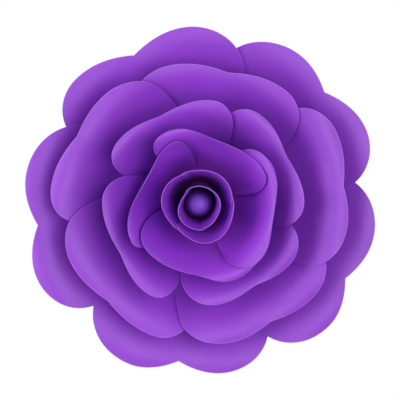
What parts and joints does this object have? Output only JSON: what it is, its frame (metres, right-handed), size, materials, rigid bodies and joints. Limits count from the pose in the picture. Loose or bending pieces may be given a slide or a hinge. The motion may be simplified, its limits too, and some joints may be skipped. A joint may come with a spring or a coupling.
{
  "type": "giant paper flower",
  "caption": "Wall or backdrop decoration: rings of curled, notched paper petals glued round a card disc, with a rolled bud and a ball at its heart.",
  "frame": {"origin": "centre of the flat back of the disc that the petals are glued to", "axes": "+Z out of the flower's face, towards the viewer; +X to the right and +Y up as it hangs in the picture"},
  "size_m": [0.2994, 0.299, 0.0931],
  "materials": {
    "back_disc": "matte",
    "outer_petal_1": "satin",
    "outer_petal_2": "satin",
    "outer_petal_3": "satin",
    "outer_petal_4": "satin",
    "outer_petal_5": "satin",
    "second_petal_1": "satin",
    "second_petal_2": "satin",
    "second_petal_3": "satin",
    "second_petal_4": "satin",
    "second_petal_5": "satin",
    "third_petal_1": "satin",
    "third_petal_2": "satin",
    "third_petal_3": "satin",
    "third_petal_4": "satin",
    "inner_petal_1": "satin",
    "inner_petal_2": "satin",
    "inner_petal_3": "satin",
    "inner_petal_4": "satin",
    "bud_petal_1": "satin",
    "bud_petal_2": "satin",
    "bud_petal_3": "satin",
    "heart_petal_1": "satin",
    "heart_petal_2": "satin",
    "centre_ball": "matte"
  },
  "bodies": {
    "root": {"back_disc": "back_disc", "outer_petal_1": "outer_petal_1", "outer_petal_2": "outer_petal_2", "outer_petal_3": "outer_petal_3", "outer_petal_4": "outer_petal_4", "outer_petal_5": "outer_petal_5", "second_petal_1": "second_petal_1", "second_petal_2": "second_petal_2", "second_petal_3": "second_petal_3", "second_petal_4": "second_petal_4", "second_petal_5": "second_petal_5", "third_petal_1": "third_petal_1", "third_petal_2": "third_petal_2", "third_petal_3": "third_petal_3", "third_petal_4": "third_petal_4", "inner_petal_1": "inner_petal_1", "inner_petal_2": "inner_petal_2", "inner_petal_3": "inner_petal_3", "inner_petal_4": "inner_petal_4", "bud_petal_1": "bud_petal_1", "bud_petal_2": "bud_petal_2", "bud_petal_3": "bud_petal_3", "heart_petal_1": "heart_petal_1", "heart_petal_2": "heart_petal_2", "centre_ball": "centre_ball"}
  },
  "joints": []
}
